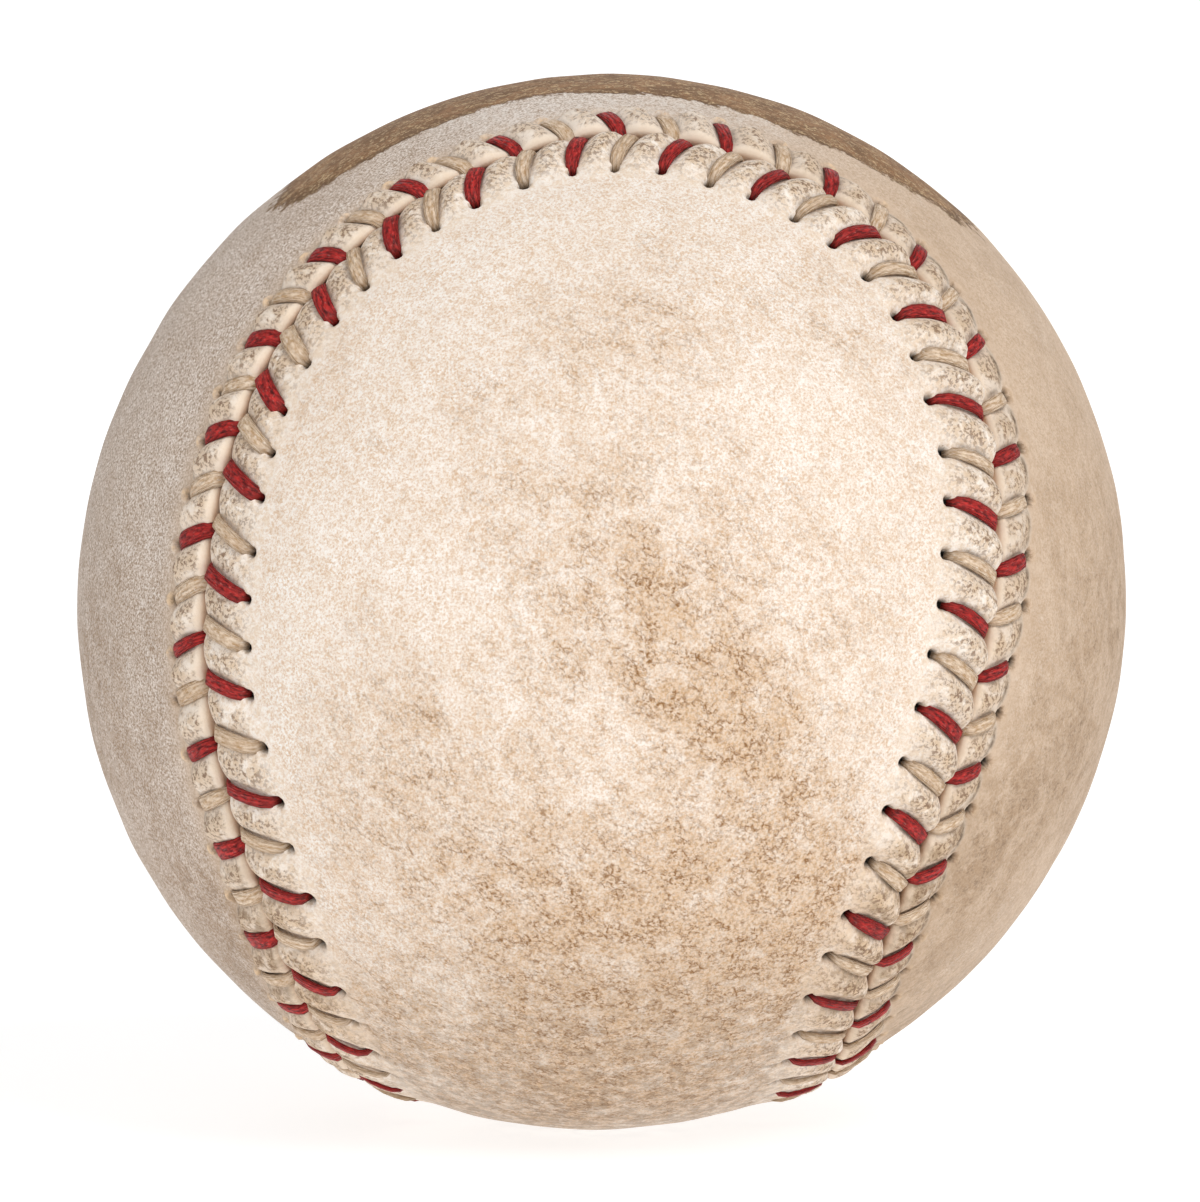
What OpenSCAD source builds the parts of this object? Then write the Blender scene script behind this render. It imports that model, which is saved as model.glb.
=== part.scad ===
// Sewn leather ball: a cushioned cork centre, four windings and two figure-eight panels.
// The origin is the ball's centre. The front panel has its lobes at -Y and +Y and its neck
// at the bottom. The side panel is the same shape, with its lobes at -X and +X and its neck
// at the top.

/* [Ball] */
// Circumference over the bare leather
ball_circumference = 233; // [226:0.5:240]
// Thickness of the leather
leather_t = 1.2; // [1:0.05:1.5]
// Room for cement between the wound core and the leather
cement_gap = 0.3; // [0.25:0.05:0.5]

/* [Cushioned centre] */
// Diameter of the cork sphere
cork_d = 20.6; // [16:0.1:24]
// Thickness of the two black rubber half shells
black_rubber_t = 4; // [2.5:0.1:5]
// Thickness of the ring between the half shells
gasket_t = 1.6; // [0.8:0.1:3]
// Thickness of the red rubber moulded over the half shells
red_rubber_t = 2.4; // [1.5:0.1:3.5]

/* [Windings] */
// Thickness of the white wool winding
white_wool_t = 1.75; // [1:0.05:3]
// Thickness of the outer grey wool winding
grey_wool_t = 2.25; // [1:0.05:3]
// Thickness of the cotton finishing winding
cotton_t = 0.5; // [0.3:0.05:1]

/* [Seam] */
// Number of double stitches round the seam
stitches = 108; // [96:4:120]
// Angle from a pole to the seam's crown, which is half the width of a panel's neck
neck_half_angle = 25; // [22:0.5:28]
// Angle by which the seam swings to each side of its course
seam_swing_angle = 20; // [17:0.5:22]
// Smaller swing at twice the rate, which squares the lobes
seam_curl_angle = 1; // [0:0.25:2]
// Turn of the seam's crowns about the poles, left in the cover by the sewing
seam_turn_angle = 6; // [0:0.5:8]
// Lean of the seam up and down between its crowns
seam_lean_angle = -2; // [-3:0.5:0]
// Gap between the edges of the two panels
seam_gap = 0.7; // [0.5:0.05:1]

/* [Stitches] */
// Width of the flattened thread
thread_w = 1.1; // [0.8:0.05:1.2]
// Thickness of the flattened thread
thread_t = 0.6; // [0.4:0.05:0.65]
// Distance from the seam's middle to the near end of a stitch hole
hole_near = 3; // [2.8:0.1:3.3]
// Length of a stitch hole, across the seam
hole_length = 1.6; // [1.4:0.1:2]
// How far a stitch on the front panel starts ahead of its place on the seam
front_lead = 0.8; // [0:0.1:1]
// How far a stitch on the front panel trails its place at its hole
front_slant = 1.2; // [0:0.1:2]
// How far a stitch on the side panel trails its place at its hole
side_slant = 1.4; // [0:0.1:2]
// Height of the leather puffs between the stitches
puff_h = 0.8; // [0.4:0.05:1]
// Depth of a stitch's ends under the leather's surface
stitch_dip = 0.6; // [0.4:0.05:0.7]
// Height of a stitch's middle over the leather's surface
stitch_rise = 0.45; // [0.4:0.05:0.6]

/* [Hidden] */

sphere_fn = 96;
thread_fn = 32;
bend_fn = 90;

// Radii from the centre outwards, and from the leather inwards
cork_r = cork_d / 2;
black_r = cork_r + black_rubber_t;
pill_r = black_r + red_rubber_t;
ball_r = ball_circumference / (2 * PI);
flesh_r = ball_r - leather_t;
cotton_r = flesh_r - cement_gap;
grey_wool_r = cotton_r - cotton_t;
white_wool_r = grey_wool_r - grey_wool_t;
inner_wool_r = white_wool_r - white_wool_t;

// Stitch places. The threads swap sides at every stitch.
first_stitch_share = 0.16;
hole_far = hole_near + hole_length;
hole_middle = (hole_near + hole_far) / 2;
front = "front";
side = "side";

// Columns of a panel's band, as shares of the stitch pitch: both walls of the groove that a
// stitch lies in, and the top of the puff between two stitches
groove_share = 0.2;
column_shares = [-groove_share, groove_share, 0.5];
columns = len(column_shares);

// Places of the crest and of the first plain row, across the seam
crest_share = 0.55;
crest_u = crest_share * hole_near;
plain_share = 1.4;
plain_u = plain_share * hole_far;

// Heights over the bare leather, as shares of the leather's thickness in the groove, and of
// the puff's height on the puff
groove_height_shares = [-0.6, -0.04, -0.26, 0];
puff_height_shares = [-0.35, 1, 0.6, 0.15];

// Rows from the plain row to the spine of the panel
field_rows = 4;
// Angle by which the spine starts beyond the middle of a lobe
spine_start_angle = -20;
// Share of the spine's steps that is even. The rest makes them longer towards the neck.
spine_even_share = 0.8;

// Direction at a latitude and longitude. Longitude 0 faces -Y and longitude 90 faces +X.
function direction(lat, lon) = [cos(lat) * sin(lon), -cos(lat) * cos(lon), sin(lat)];
function unit(v) = v / norm(v);

// The seam: two turns of the course angle make one closed curve that goes round once
course_turn_angle = 720;
course_step_angle = 2;
crown_lat = 90 - neck_half_angle;
function seam_direction(course) = direction(
    crown_lat * cos(course) + seam_lean_angle * sin(2 * course),
    course / 2 + seam_swing_angle * sin(2 * course) + seam_curl_angle * sin(4 * course)
        + seam_turn_angle * cos(course));
function seam_tangent(course) =
    unit(seam_direction(course + course_step_angle) - seam_direction(course - course_step_angle));

// Seam length in radii up to each course angle, to place the stitches evenly
seam_table = [for (course = 0, run = 0; course <= course_turn_angle;
                   run = run + norm(seam_direction(course + course_step_angle)
                                    - seam_direction(course)),
                   course = course + course_step_angle) [run, course]];
seam_radii = seam_table[len(seam_table) - 1][0];
stitch_pitch = ball_r * seam_radii / stitches;
function seam_course(place) =
    let (share = place / stitches)
    lookup((share - floor(share)) * seam_radii, seam_table);

// Stitches by which a point u from the seam trails its place. It starts ahead by the lead,
// trails by the slant at the middle of a hole, and stays behind from the end of the hole.
function trail(u, panel, slant) =
    let (lead = panel == front ? front_lead : 0)
    ((slant + lead) * min(u, hole_far) / hole_middle - lead) / stitch_pitch;

// Direction of a point u from the seam on one panel, at a place counted in stitches
function beside_seam(place, u, panel) =
    let (course = seam_course(place),
         over_seam = seam_direction(course),
         to_front = cross(seam_tangent(course), over_seam),
         across = panel == front ? to_front : -to_front,
         angle = u / ball_r * 180 / PI)
    over_seam * cos(angle) + across * sin(angle);
function band_direction(place, u, panel, slant) =
    beside_seam(place - trail(u, panel, slant), u, panel);

// The spine of a panel runs from one lobe through the neck to the other. The side panel's
// is the front panel's after half a turn about the level axis between the two panels.
function front_spine(share) =
    let (lobe = share < 0.25 || share > 0.75 ? 0 : 180,
         neck = 1 - abs(abs(2 * share - 1) * 2 - 1),
         steps = neck * (spine_even_share + (1 - spine_even_share) * neck),
         angle = spine_start_angle + (90 - spine_start_angle) * steps)
    direction(-angle, lobe - seam_turn_angle * sin(angle));
function half_turn(v) = [-v[1], -v[0], -v[2]];
function spine_direction(share, panel) =
    panel == front ? front_spine(share)
    : half_turn(front_spine(0.25 - share < 0 ? 1.25 - share : 0.25 - share));

// Great-circle step from a to b
function between(a, b, share) =
    let (whole = acos(a * b))
    (a * sin((1 - share) * whole) + b * sin(share * whole)) / sin(whole);

// Height of the outer surface at one row of the band, in the groove or on the puff
function band_height(row, column) =
    column == columns - 1
        ? (row == 0 ? puff_height_shares[0] * leather_t : puff_height_shares[row] * puff_h)
        : groove_height_shares[row] * leather_t;

function band_row(panel, slant, u, radii) =
    [for (n = [0 : stitches - 1], c = [0 : columns - 1])
        radii[c] * band_direction(n + first_stitch_share + column_shares[c], u, panel, slant)];
function outer_radii(row) = [for (c = [0 : columns - 1]) ball_r + band_height(row, c)];
inner_radii = [for (c = [0 : columns - 1]) flesh_r];

// Whole stitches by which a panel's columns lag at the end of the band
function column_lag(panel, slant) = round(first_stitch_share - trail(hole_far, panel, slant));
function field_points(panel, slant, radius) =
    [for (row = [0 : field_rows - 1], n = [0 : stitches - 1])
        let (place = n + column_lag(panel, slant) + stitches)
        radius * between(beside_seam(place, plain_u, panel),
                         spine_direction((place / stitches) % 1, panel), row / field_rows)];
function spine_points(panel, radius) =
    [for (n = [0 : stitches / 2])
        radius * spine_direction(panel == front ? n / stitches
                                 : (n / stitches + 0.25) % 1, panel)];

// Two triangles between four of the points, cut along the shorter diagonal
function quad(points, a, b, c, d, turned) =
    let (short = norm(points[a] - points[c]) <= norm(points[b] - points[d]),
         cut = short ? [[a, b, c], [a, c, d]] : [[a, b, d], [b, c, d]])
    turned ? [for (face = cut) [face[0], face[2], face[1]]] : cut;
function flat_list(lists) = [for (list = lists, item = list) item];

// One closed solid: the leather's outer face, its inner face, its cut edge and the walls of
// its stitch holes. turned is set where the seam runs round the panel the other way.
module cover_panel(panel, slant) {
    turned = panel == side;
    edge_u = seam_gap / 2;
    band_size = stitches * columns;
    field_size = stitches * field_rows;
    band_us = [edge_u, crest_u, hole_near, hole_far];
    points = concat(
        band_row(panel, slant, edge_u, inner_radii),
        flat_list([for (row = [0 : 3]) band_row(panel, slant, band_us[row], outer_radii(row))]),
        band_row(panel, slant, hole_near, inner_radii),
        band_row(panel, slant, hole_far, inner_radii),
        field_points(panel, slant, ball_r),
        field_points(panel, slant, flesh_r),
        spine_points(panel, ball_r),
        spine_points(panel, flesh_r));
    // First point of each row
    inner_edge = 0;
    outer_rows = [for (row = [1 : 4]) row * band_size];
    inner_near = 5 * band_size;
    inner_far = 6 * band_size;
    outer_field = 7 * band_size;
    inner_field = outer_field + field_size;
    outer_spine = inner_field + field_size;
    inner_spine = outer_spine + stitches / 2 + 1;

    function next(i, count) = (i + 1) % count;
    function is_hole(i) = i % columns == 0;
    function strip(a, b, count, flipped, holes) =
        [for (i = [0 : count - 1]) if (!(holes && is_hole(i)))
            each quad(points, a + i, a + next(i, count), b + next(i, count), b + i, flipped)];
    // Three band columns meet one plain column
    function fan(a, b, flipped) =
        [for (n = [0 : stitches - 1])
            let (first = n * columns, before = (first + band_size - 1) % band_size,
                 ring = [before, first, first + 1, first + 2])
            each concat(
                [for (k = [0 : 2]) flipped ? [a + ring[k], b + n, a + ring[k + 1]]
                                           : [a + ring[k], a + ring[k + 1], b + n]],
                [flipped ? [a + ring[3], b + n, b + next(n, stitches)]
                         : [a + ring[3], b + next(n, stitches), b + n]])];
    // Two columns meet at each point of the spine, counted from the lobe where it starts
    lobe_column = panel == front ? 0 : stitches / 4;
    function at_spine(n, base) =
        let (steps = (n + column_lag(panel, slant) + 2 * stitches - lobe_column) % stitches)
        base + (steps <= stitches / 2 ? steps : stitches - steps);
    function close_spine(a, base, flipped) =
        [for (n = [0 : stitches - 1])
            each quad(points, a + n, a + next(n, stitches), at_spine(next(n, stitches), base),
                      at_spine(n, base), flipped)];
    function field_faces(a, base, flipped) =
        concat(flat_list([for (row = [0 : field_rows - 2])
                   strip(a + row * stitches, a + (row + 1) * stitches, stitches, flipped, false)]),
               close_spine(a + (field_rows - 1) * stitches, base, flipped));
    function hole_faces(flipped) =
        [for (n = [0 : stitches - 1])
            let (i = n * columns, near = outer_rows[2] + i, far = outer_rows[3] + i,
                 in_near = inner_near + i, in_far = inner_far + i)
            each concat(quad(points, near, near + 1, in_near + 1, in_near, flipped),
                        quad(points, near + 1, far + 1, in_far + 1, in_near + 1, flipped),
                        quad(points, far + 1, far, in_far, in_far + 1, flipped),
                        quad(points, far, near, in_near, in_far, flipped))];

    outer = turned;
    polyhedron(points, concat(
        strip(inner_edge, outer_rows[0], band_size, outer, false),
        strip(outer_rows[0], outer_rows[1], band_size, outer, false),
        strip(outer_rows[1], outer_rows[2], band_size, outer, false),
        strip(outer_rows[2], outer_rows[3], band_size, outer, true),
        fan(outer_rows[3], outer_field, outer),
        field_faces(outer_field, outer_spine, outer),
        strip(inner_edge, inner_near, band_size, !outer, false),
        strip(inner_near, inner_far, band_size, !outer, true),
        fan(inner_far, inner_field, !outer),
        field_faces(inner_field, inner_spine, !outer),
        hole_faces(outer)));
}

// Distance of a leg's start from the seam's middle, as a share of the thread's thickness
start_share = 0.65;

// Flattened thread, its thickness along x and its width along y
module thread_section() {
    edge = (thread_w - thread_t) / 2;
    square([thread_t, thread_w - thread_t], center = true);
    translate([0, edge]) circle(d = thread_t, $fn = thread_fn);
    translate([0, -edge]) circle(d = thread_t, $fn = thread_fn);
}

// One leg of a stitch: an arc that comes up out of the seam's gap, lies over the leather
// and goes down into its hole
module stitch_leg(place, panel, slant) {
    start = (ball_r - stitch_dip / 3) * band_direction(place, start_share * thread_t, panel, slant);
    end = (ball_r - stitch_dip) * band_direction(place, hole_middle, panel, slant);
    chord = norm(end - start);
    along = (end - start) / chord;
    middle = (start + end) / 2;
    up = unit(middle - along * (middle * along));
    axis = cross(up, along);
    sag = stitch_rise + ball_r - norm(middle);
    bend_r = (chord * chord / 4 + sag * sag) / (2 * sag);
    half_angle = asin(chord / 2 / bend_r);
    centre = middle - up * (bend_r - sag);
    multmatrix([[up[0], along[0], axis[0], centre[0]],
                [up[1], along[1], axis[1], centre[1]],
                [up[2], along[2], axis[2], centre[2]],
                [0, 0, 0, 1]])
        rotate_extrude(angle = 2 * half_angle, start = -half_angle, $fn = bend_fn)
            translate([bend_r, 0]) thread_section();
}

// Every second leg on each panel belongs to one thread. phase 0 starts on the side panel.
module thread(phase) {
    for (n = [0 : stitches - 1]) {
        on_side = (n + phase) % 2 == 0;
        stitch_leg(n + first_stitch_share, on_side ? side : front,
                   on_side ? side_slant : front_slant);
    }
}

// Ball with a concentric hollow
module hollow_sphere(outer_r, inner_r) {
    difference() {
        sphere(r = outer_r, $fn = sphere_fn);
        sphere(r = inner_r, $fn = sphere_fn);
    }
}

// Half of the black shell, cut back by half the ring's thickness
module black_half() {
    difference() {
        hollow_sphere(black_r, cork_r);
        translate([-black_r, -black_r, gasket_t / 2 - 2 * black_r])
            cube([2 * black_r, 2 * black_r, 2 * black_r]);
    }
}

module cork_core() { color("#b08a5a") sphere(r = cork_r, $fn = sphere_fn); }
module black_shell_upper() { color("#26262a") black_half(); }
module black_shell_lower() { color("#2e2e32") mirror([0, 0, 1]) black_half(); }
module gasket_ring() {
    color("#a03a2c") intersection() {
        hollow_sphere(black_r, cork_r);
        cylinder(r = black_r, h = gasket_t, center = true, $fn = sphere_fn);
    }
}
module red_rubber_layer() { color("#a8402f") hollow_sphere(pill_r, black_r); }
module inner_wool_winding() { color("#8c8a86") hollow_sphere(inner_wool_r, pill_r); }
module white_wool_winding() { color("#e4dfd2") hollow_sphere(white_wool_r, inner_wool_r); }
module grey_wool_winding() { color("#9a9894") hollow_sphere(grey_wool_r, white_wool_r); }
module cotton_winding() { color("#efe9da") hollow_sphere(cotton_r, grey_wool_r); }
module cover_front() { color("#e2d3bf") cover_panel(front, front_slant); }
module cover_side() { color("#cdbda8") cover_panel(side, side_slant); }
module red_thread() { color("#963c37") thread(0); }
module natural_thread() { color("#a8957c") thread(1); }

cork_core();
black_shell_upper();
black_shell_lower();
gasket_ring();
red_rubber_layer();
inner_wool_winding();
white_wool_winding();
grey_wool_winding();
cotton_winding();
cover_front();
cover_side();
red_thread();
natural_thread();
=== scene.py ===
# %% [markdown]
# # A sewn leather ball
# The ball is made the way the real one is: a small cushioned centre, four windings of yarn, two
# figure-eight panels of leather and two waxed threads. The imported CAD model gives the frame, so
# every piece that is added here sits at the same place as the solid that it dresses.

# %% Load the fixed frame
import bpy
import numpy as np
from mathutils import Matrix


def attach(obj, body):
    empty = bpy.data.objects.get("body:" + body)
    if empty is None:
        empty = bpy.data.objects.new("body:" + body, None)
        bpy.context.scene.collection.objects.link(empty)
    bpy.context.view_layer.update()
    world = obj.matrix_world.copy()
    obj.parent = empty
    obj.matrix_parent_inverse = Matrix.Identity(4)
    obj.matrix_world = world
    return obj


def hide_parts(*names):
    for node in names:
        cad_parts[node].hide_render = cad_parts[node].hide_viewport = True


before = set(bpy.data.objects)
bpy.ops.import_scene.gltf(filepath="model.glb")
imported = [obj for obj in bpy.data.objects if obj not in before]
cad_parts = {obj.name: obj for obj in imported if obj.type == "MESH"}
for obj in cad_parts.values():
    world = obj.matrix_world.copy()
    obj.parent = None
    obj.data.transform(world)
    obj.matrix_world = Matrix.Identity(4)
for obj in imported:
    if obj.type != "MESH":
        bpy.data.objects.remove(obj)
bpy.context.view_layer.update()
print("CAD nodes:", sorted(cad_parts))

# %% [markdown]
# ## Sizes
# All shapes below are worked out in millimetres, in the ball's own frame: the origin is the
# centre, -Y looks through a lobe of the front panel and +Z through the neck of the side panel.
# They turn to metres only when a mesh is made.

# %% Sizes of the real ball
MM = 0.001
BALL_R = 233 / (2 * np.pi)
LEATHER_T = 1.2
FLESH_R = BALL_R - LEATHER_T
STITCHES = 108
PUFF_H = 0.95
print(f"ball radius {BALL_R:.2f} mm, {STITCHES} double stitches")

# %% [markdown]
# ## The seam
# The seam is one closed curve. Its latitude swings between the two crowns while its longitude
# goes round, with a smaller swing that gives the panels their waists. Walking the curve in equal
# steps of length, not of angle, spaces the stitches evenly.

# %% The seam as a function of one angle
CROWN_LAT, SWING, CURL, LEAN, TURN = np.radians([65, 20, 1, -2, 6])


def unit(v):
    """Each vector divided by its length."""
    return v / np.linalg.norm(v, axis=-1, keepdims=True)


def direction(lat, lon):
    """Unit vector at a latitude and longitude: cos lat sin lon, -cos lat cos lon, sin lat."""
    lat, lon = np.broadcast_arrays(lat, lon)
    return np.stack([np.cos(lat) * np.sin(lon), -np.cos(lat) * np.cos(lon), np.sin(lat)], -1)


def seam_direction(course):
    """Latitude: crown cos c + lean sin 2c. Longitude: c / 2 + swing sin 2c + curl sin 4c + turn cos c."""
    lat = CROWN_LAT * np.cos(course) + LEAN * np.sin(2 * course)
    lon = course / 2 + SWING * np.sin(2 * course) + CURL * np.sin(4 * course) + TURN * np.cos(course)
    return direction(lat, lon)


course_table = np.linspace(0, 4 * np.pi, 7201)
seam_steps = np.linalg.norm(np.diff(seam_direction(course_table), axis=0), axis=1)
run_table = np.concatenate([[0], np.cumsum(seam_steps)])
PITCH = BALL_R * run_table[-1] / STITCHES


def seam_frame(place):
    """Point, direction along and direction towards the front panel, at a place counted in stitches."""
    course = np.interp(place / STITCHES % 1 * run_table[-1], run_table, course_table)
    over = seam_direction(course)
    along = unit(seam_direction(course + 0.01) - seam_direction(course - 0.01))
    return over, along, np.cross(along, over)


def band_direction(place, u, sign):
    """Great-circle step of u mm away from the seam: over cos(u / R) + across sin(u / R)."""
    over, along, to_front = seam_frame(place)
    angle = (np.asarray(u) / BALL_R)[..., None]
    return over * np.cos(angle) + sign * to_front * np.sin(angle)


print(f"seam {PITCH * STITCHES:.0f} mm long, stitch pitch {PITCH:.2f} mm")

# %% [markdown]
# ## The legs of the stitches
# A leg comes up through the gap and crosses a panel at a slant to its hole. On the front panel it
# starts ahead of its place on the seam and ends behind it; on the side panel it only trails. The
# panels were pierced and pulled together by hand: a table gives, at some of the 108 stitches, how
# the sewing wanders, and the stitches between are blended. Four rows do for the far side, stitches
# 26 to 82. Small fixed deviations come on top, which the leather's grooves follow.

# %% How the sewing wanders
def smooth(low, high, x):
    """Smooth step: with t the share of the way from low to high, 3 t^2 - 2 t^3."""
    t = np.clip((x - low) / (high - low), 0, 1)
    return t * t * (3 - 2 * t)


FIRST_PLACE = 0.16  # stitches from the seam's start to stitch 0
SEWING = np.random.default_rng(11)
stitch = np.arange(STITCHES)
KNOTS = np.array([
    # stitch, mm ahead, mm towards the front, then hole, trail and puff of the front and side panel
    (0, -0.25, 0.9, 5.15, 0.65, 0.8, 2.35, 1.75, 1.05),
    (2, -0.3, 0.4, 4.55, 0.55, 0.85, 3.4, 1.75, 1.05),
    (4, -0.25, -0.45, 3.9, 0.85, 1.0, 4.1, 1.65, 0.95),
    (6, -0.15, -0.75, 3.85, 1.15, 1.0, 3.85, 1.45, 0.85),
    (9, -0.25, -0.65, 4.0, 0.85, 1.0, 4.1, 1.55, 0.85),
    (12, -0.05, -0.6, 4.05, 0.9, 1.0, 4.25, 1.9, 0.85),
    (15, -0.05, -0.15, 4.25, 0.95, 1.05, 3.55, 1.9, 0.95),
    (18, 0.1, 0.2, 4.0, 1.45, 1.05, 3.4, 1.9, 1.05),
    (21, 0.1, 0.1, 4.65, 1.5, 1.05, 3.4, 1.6, 1.05),
    (26, 0.0, 0.0, 4.1, 1.2, 1.0, 3.8, 1.6, 1.0),
    (45, 0.2, -0.4, 3.8, 1.0, 0.8, 4.1, 1.5, 0.9),
    (65, -0.2, 0.4, 4.4, 1.4, 0.95, 3.5, 1.8, 1.0),
    (82, 0.0, 0.0, 3.8, 0.6, 0.9, 3.6, 1.7, 1.0),
    (86, 0.1, 0.2, 4.05, 0.15, 0.9, 3.3, 1.6, 1.0),
    (89, 0.4, 0.75, 4.8, 0.4, 0.8, 2.45, 1.3, 0.95),
    (91, 0.6, 0.0, 4.6, 0.5, 0.65, 3.2, 1.45, 0.9),
    (93, 0.6, -0.55, 3.45, 0.9, 0.5, 3.85, 1.5, 0.9),
    (95, 0.5, -0.45, 3.35, 1.45, 0.45, 3.95, 1.6, 0.9),
    (97, 0.35, -0.25, 3.55, 1.6, 0.45, 3.65, 1.5, 0.9),
    (99, -0.2, 0.0, 3.25, 1.65, 0.45, 3.35, 1.35, 0.95),
    (101, -0.5, 0.5, 3.85, 1.6, 0.5, 2.95, 1.4, 1.0),
    (103, -0.6, 0.95, 4.25, 1.75, 0.55, 2.5, 1.55, 1.05),
    (105, -0.75, 1.5, 4.95, 1.7, 0.65, 1.8, 1.45, 1.05),
    (106, -0.65, 1.75, 5.15, 1.4, 0.7, 1.75, 1.5, 1.05),
])
PANELS = {
    # sign: side of the seam; start: mm by which a leg trails at the seam; foot, arc: mm from the hole to the
    # puff's foot, at a leg and added between two; dome, crumbs, lip: mm from the cut edge to where the puff
    # is full, the crumbs begin and the lip's painted highlight ends; lobe: stitch where its spine starts
    "front": dict(sign=1, start=-0.6, foot=1.0, arc=0.5, dome=1.3, crumbs=0.1, lip_highlight=0.3, lobe=0),
    "side": dict(sign=-1, start=0.3, foot=-0.30, arc=0.55, dome=1.6, crumbs=0.15, lip_highlight=0.65,
                 lobe=STITCHES // 4),
}
# How strong the front puffs are: strong ones lean over the gap and shorten their legs
lean = np.interp(stitch, KNOTS[:, 0], KNOTS[:, 5], period=STITCHES)
over_seam = seam_frame(stitch)[0]
# Low on the ball the puffs close over the legs and pinch them; at its right the holes are worn open
pinch = smooth(-20, -34, BALL_R * over_seam[:, 2])
worn_open = smooth(0.25, 0.65, over_seam[:, 0])
for panel, values in PANELS.items():
    columns = (3, 4, 5) if panel == "front" else (6, 7, 8)
    ahead, towards, hole, trail, puff = (
        np.interp(stitch, KNOTS[:, 0], KNOTS[:, column], period=STITCHES) for column in (1, 2, *columns))
    values["drift"] = ahead / PITCH + SEWING.normal(0, 0.03, STITCHES)
    values["shift"] = values["sign"] * towards
    values["hole_u"] = hole + SEWING.normal(0, 0.10, STITCHES)
    values["trail"] = trail + SEWING.normal(0, 0.10, STITCHES)
    values["puff"] = puff * SEWING.normal(1, 0.10, STITCHES) * (1 - 0.45 * pinch)
    values["pinch"] = pinch
    # Where the front puffs are strong they bulge over the gap, and where not the side ones do
    if panel == "front":
        values.update(bulge=-0.10 - 0.26 * lean, bend=1.0 + 0.45 * smooth(0.45, 0.9, lean),
                      slope=3.4 + 1.2 * pinch, short=0.05 + 0.25 * (lean - 0.45),
                      nub=np.zeros(STITCHES), pierced=np.full(STITCHES, 0.78))
    else:
        values.update(bulge=0.32 * lean - 0.42, bend=np.ones(STITCHES),
                      slope=1.0 + 1.2 * pinch + 1.2 * worn_open, short=0.50 * worn_open,
                      nub=0.28 - 0.24 * worn_open, pierced=0.66 + 0.18 * worn_open)
        values["puff"] = values["puff"] * (1 - 0.35 * worn_open)
    values["bulge"] = values["bulge"] + SEWING.normal(0, 0.04, STITCHES)
    values["pierced"] = values["pierced"] + SEWING.normal(0, 0.07, STITCHES)
    values["short"] = values["short"] * (1 - pinch)


def leg_trail(out, end, bend, panel):
    """How far a leg trails at a share of its way out: start + (end - start) (1 - (1 - out) ^ bend)."""
    start = PANELS[panel]["start"]
    return start + (end - start) * (1 - (1 - np.clip(out, 0, 1)) ** bend)


def between_stitches(name, panel, count):
    """A value of each stitch, blended evenly to the next one's over the columns between them."""
    values = PANELS[panel][name]
    n, share = np.divmod(count, 1)
    n = n.astype(int) % STITCHES
    return values[n] * (1 - share) + values[(n + 1) % STITCHES] * share


print({panel: values["hole_u"].round(1)[:6] for panel, values in PANELS.items()})

# %% [markdown]
# ## The leather's relief
# Thread pulls the leather down at each stitch, so it swells into a puff between two stitches and
# rolls down into the gap at its cut edge. One height function describes it all: u is the distance
# from the seam, d the distance along it from the nearest leg, and here holds the sewing table's
# values at each column of the grid. Beyond the holes of the side panel a nub shows where the thread
# runs on under the leather, and from pinched holes a short crease, the tail, leads on.

# %% Height of the leather over the bare ball
HALF_LEG, EDGE_DROP, HOLE_DEPTH, TAIL_DEPTH = 0.38, 0.30, 1.0, 0.2


def pillow(d):
    """Cross-profile of a puff: (sine of the share of the way from a leg to the middle) ^ 0.85."""
    t = np.clip((np.abs(d) - HALF_LEG) / (PITCH / 2 - HALF_LEG), 0, 1)
    return np.sin(np.pi / 2 * t) ** 0.85


def leather_relief(u, edge, d, panel, here):
    """Height in mm: puff * dome * fall * pillow - turned edge - hole + nub - tail, and the masks."""
    values = PANELS[panel]
    hole_u = here["hole_u"]
    swell = pillow(d)
    inward = u - edge
    dome = np.sqrt(1 - (1 - np.clip(inward / values["dome"], 0, 1)) ** 2)
    turned_down = 1 - smooth(0, 0.3, inward)
    foot = hole_u + values["foot"] + values["arc"] * swell
    fall = 1 - smooth(foot - here["slope"], foot + 0.15, u)
    height = PUFF_H * here["puff"] * (0.30 + 0.70 * dome) * fall * (0.10 + 0.90 * swell) \
        - EDGE_DROP * turned_down
    far = u - hole_u
    hole = np.exp(-((far / (0.5 * here["pierced"])) ** 2 + (d / (0.46 * here["pierced"])) ** 2) ** 1.4)
    nub = here["nub"] * np.exp(-(((far - 0.50) / 0.36) ** 2 + (d / 0.46) ** 2) ** 2)
    tail = np.exp(-(d / 0.11) ** 2) * smooth(0.2, 0.5, far) * (1 - smooth(0.8, 2.2, far)) * here["pinch"]
    height = height - HOLE_DEPTH * hole + nub * (1 - hole) - TAIL_DEPTH * tail
    outline = np.exp(-((u - foot + 0.4) / 0.22) ** 2) * swell
    beside = np.exp(-((np.abs(d) - 0.62) / 0.12) ** 2) * smooth(0.3, 1.0, inward) \
        * (1 - smooth(-1.6, -0.6, far))
    top = fall if panel == "front" else 1 - smooth(foot - 0.7, foot + 0.1, u)
    masks = dict(
        crest=swell * top * smooth(values["crumbs"], values["crumbs"] + 0.5, inward),
        # the lip gets a painted highlight where the cut edge turns down to the seam
        lip_highlight=1 - smooth(0.0, values["lip_highlight"], inward),
        gap=(1 - smooth(0.0, 0.16, inward)) * (1 - 0.5 * swell),
        puffed=1 - smooth(foot - 0.35, foot + 0.1, u),
        # the hole's mask paints the dip near-black, as the shade inside the opening
        hole=smooth(0.22, 0.60, hole),
        rim=np.clip(hole * 5, 0, 1),
        # the crease mask paints shade in the creases: the outline at a side puff's foot, the groove beside
        # each leg and the tail of a pinched hole
        crease=np.clip((panel == "side") * outline + 0.4 * beside + 0.8 * tail, 0, 1),
        nub=np.clip(nub * 4.5, 0, 1),
    )
    return height, masks


print(f"a puff is {PUFF_H} mm high, and {PUFF_H * pillow(0.8):.2f} mm near a leg")

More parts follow.
